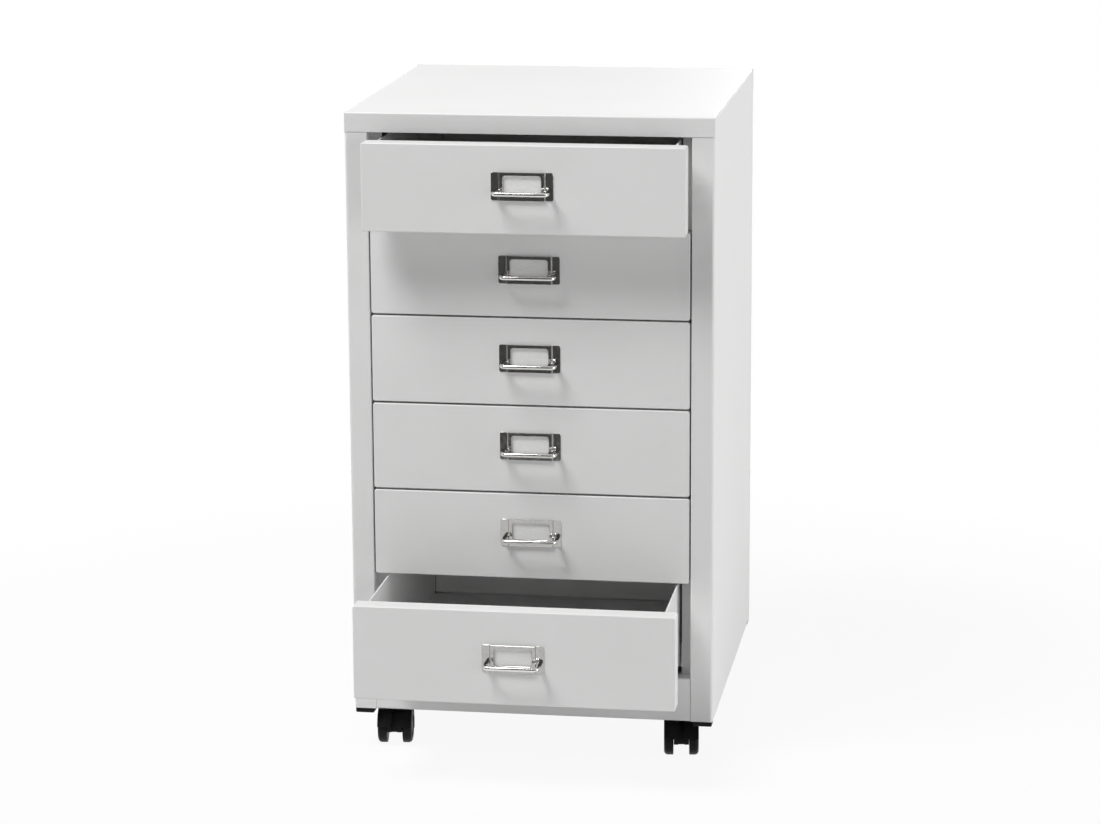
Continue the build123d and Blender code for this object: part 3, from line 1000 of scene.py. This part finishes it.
@dataclass(frozen=True)
class Viewpoint:
    """The camera, with angles in degrees and sizes fitted to the photograph's perspective."""

    place: Point = (0.5642, -3.6192, 1.1795)
    yaw: float = -8.856
    pitch: float = -12.754
    roll: float = -0.329
    focal_pixels: float = 3425.0
    image_width: float = 1100.0
    sensor: float = 36.0
    furthest: float = 200.0

    def set_up(self) -> None:
        """Put the camera into the scene."""
        yaw, pitch, roll = (math.radians(angle) for angle in (self.yaw, self.pitch, self.roll))
        ahead = Vector((math.sin(yaw) * math.cos(pitch), math.cos(yaw) * math.cos(pitch), math.sin(pitch)))
        level = Vector((math.cos(yaw), -math.sin(yaw), 0.0))
        upright = level.cross(ahead)
        right = level * math.cos(roll) + upright * math.sin(roll)
        above = upright * math.cos(roll) - level * math.sin(roll)
        lens = bpy.data.cameras.new("photo_camera")
        lens.sensor_fit = "HORIZONTAL"
        lens.sensor_width = self.sensor
        lens.lens = self.focal_pixels / self.image_width * self.sensor
        lens.clip_end = self.furthest
        camera = bpy.data.objects.new("photo_camera", lens)
        facing = Matrix((right, above, -ahead)).transposed().to_4x4()
        camera.matrix_world = Matrix.Translation(self.place) @ facing
        bpy.context.scene.collection.objects.link(camera)
        bpy.context.scene.camera = camera


@dataclass(frozen=True)
class Studio:
    """Pale floor, white surround, soft lights and a dark card, seen only in reflections, that paints a dark
    reflection into the plating.
    """

    floor_half: float = 40.0
    floor_tone: float = 0.7
    floor_white_share: float = 0.92
    floor_lit_reach: float = 1.2
    ambient: float = 0.09
    card_place: float = -1.39
    card_height: float = 2.4
    card_half: float = 3.2
    # Tone of the card that only reflections see: a painted dark reflection.
    reflection_card_tone: float = 0.2
    lights: tuple[Softbox, ...] = (
        Softbox("key_box", towards=(-0.36, -0.37, 0.856), distance=5.0, size=1.9, watts=236.0),
        Softbox("fill_box", towards=(0.62, -0.77, 0.12), distance=4.2, size=1.6, watts=20.0, mirrored=False),
        Softbox("side_box", towards=(0.985, -0.06, 0.12), distance=4.5, size=1.8, watts=84.0),
        Softbox("rear_box", towards=(0.2, 0.92, 0.34), distance=3.4, size=1.5, watts=27.0),
    )

    def build(self) -> None:
        """Lay the floor, stand the card, hang the lights and colour the surround."""
        self.lay_floor()
        self.stand_reflection_card()
        self.surround()
        for light in self.lights:
            light.hang()
        Viewpoint().set_up()

    @staticmethod
    def seen_white(tree: bpy.types.NodeTree) -> bpy.types.NodeSocket:
        """Add up the rays that see the plain white background.

        Args:
            tree: The node tree to add to.

        Returns:
            A value that is 1 for those rays.
        """
        path = tree.nodes.new("ShaderNodeLightPath")
        total = path.outputs[Rays.CAMERA.value]
        for kind in (Rays.GLOSSY, Rays.TRANSMISSION):
            either = tree.nodes.new("ShaderNodeMath")
            either.operation = "MAXIMUM"
            tree.links.new(total, either.inputs[0])
            tree.links.new(path.outputs[kind.value], either.inputs[1])
            total = either.outputs["Value"]
        return total

    def lay_floor(self) -> None:
        """Lay a wide floor that is white to look at and keeps the object's shadow."""
        material = bpy.data.materials.new("studio_floor")
        material.use_nodes = True
        tree = material.node_tree
        tree.nodes.clear()
        output = tree.nodes.new("ShaderNodeOutputMaterial")
        lit = tree.nodes.new("ShaderNodeBsdfDiffuse")
        lit.inputs["Color"].default_value = (self.floor_tone, self.floor_tone, self.floor_tone, 1.0)
        white = tree.nodes.new("ShaderNodeEmission")
        place = tree.nodes.new("ShaderNodeTexCoord")
        away = tree.nodes.new("ShaderNodeVectorMath")
        away.operation = "LENGTH"
        spread = tree.nodes.new("ShaderNodeMapRange")
        spread.interpolation_type = "SMOOTHSTEP"
        spread.inputs["From Min"].default_value = self.floor_lit_reach / 2.0
        spread.inputs["From Max"].default_value = self.floor_lit_reach
        spread.inputs["To Min"].default_value = self.floor_white_share
        spread.inputs["To Max"].default_value = 1.0
        share = tree.nodes.new("ShaderNodeMath")
        share.operation = "MULTIPLY"
        blend = tree.nodes.new("ShaderNodeMixShader")
        tree.links.new(place.outputs["Object"], away.inputs[0])
        tree.links.new(away.outputs["Value"], spread.inputs["Value"])
        tree.links.new(self.seen_white(tree), share.inputs[0])
        tree.links.new(spread.outputs["Result"], share.inputs[1])
        tree.links.new(share.outputs["Value"], blend.inputs["Fac"])
        tree.links.new(lit.outputs["BSDF"], blend.inputs[1])
        tree.links.new(white.outputs["Emission"], blend.inputs[2])
        tree.links.new(blend.outputs["Shader"], output.inputs["Surface"])
        bm = bmesh.new()
        bmesh.ops.create_grid(bm, x_segments=1, y_segments=1, size=self.floor_half)
        self.stage_piece(bm, "studio_floor", material)

    def stand_reflection_card(self) -> None:
        """Stand a dark card in front that only reflections see: a painted dark reflection in the plating."""
        material = bpy.data.materials.new("reflection_only_card")
        material.use_nodes = True
        shader = material.node_tree.nodes["Principled BSDF"]
        # The card's dark tone is a painted reflection: only glossy rays see it.
        shader.inputs["Base Color"].default_value = (self.reflection_card_tone, self.reflection_card_tone, self.reflection_card_tone, 1.0)
        shader.inputs["Roughness"].default_value = 1.0
        shader.inputs["Specular IOR Level"].default_value = 0.0
        bm = bmesh.new()
        turn = Matrix.Rotation(QUARTER_TURN, 4, "X")
        size = Matrix.Diagonal((self.card_half, self.card_height / 2.0, 1.0, 1.0))
        spot = Matrix.Translation((0.0, self.card_place, self.card_height / 2.0))
        bmesh.ops.create_grid(bm, x_segments=1, y_segments=1, size=1.0, matrix=spot @ turn @ size)
        card = self.stage_piece(bm, "reflection_only_card", material)
        card.visible_camera = False
        card.visible_diffuse = False
        card.visible_shadow = False
        card.visible_transmission = False

    @staticmethod
    def stage_piece(bm: bmesh.types.BMesh, name: str, material: bpy.types.Material) -> bpy.types.Object:
        """Put a stage mesh into the scene.

        Args:
            bm: Its mesh, which is freed.
            name: Its name.
            material: Its material.

        Returns:
            The stage object.
        """
        mesh = bpy.data.meshes.new(name)
        bm.to_mesh(mesh)
        bm.free()
        mesh.materials.append(material)
        piece = bpy.data.objects.new(name, mesh)
        bpy.context.scene.collection.objects.link(piece)
        return piece

    def surround(self) -> None:
        """Make the surround white to look at and softly lit otherwise."""
        scene = bpy.context.scene
        scene.world = bpy.data.worlds.new("studio_surround")
        scene.world.use_nodes = True
        tree = scene.world.node_tree
        background = tree.nodes["Background"]
        background.inputs["Color"].default_value = (1.0, 1.0, 1.0, 1.0)
        level = tree.nodes.new("ShaderNodeMapRange")
        level.inputs["To Min"].default_value = self.ambient
        level.inputs["To Max"].default_value = 1.0
        tree.links.new(self.seen_white(tree), level.inputs["Value"])
        tree.links.new(level.outputs["Result"], background.inputs["Strength"])
        scene.view_settings.view_transform = "Standard"


def main() -> None:
    """Dress the pedestal piece by piece and set up the studio."""
    logging.basicConfig(level=logging.INFO, format="%(name)s: %(message)s")
    finishes = Finishes()
    Carcass().dress(finishes)
    for number in DRAWERS:
        Drawer(number).dress(finishes)
    for corner in CORNERS:
        Caster(corner).dress(finishes)
    Studio().build()


if __name__ == "__main__":
    main()
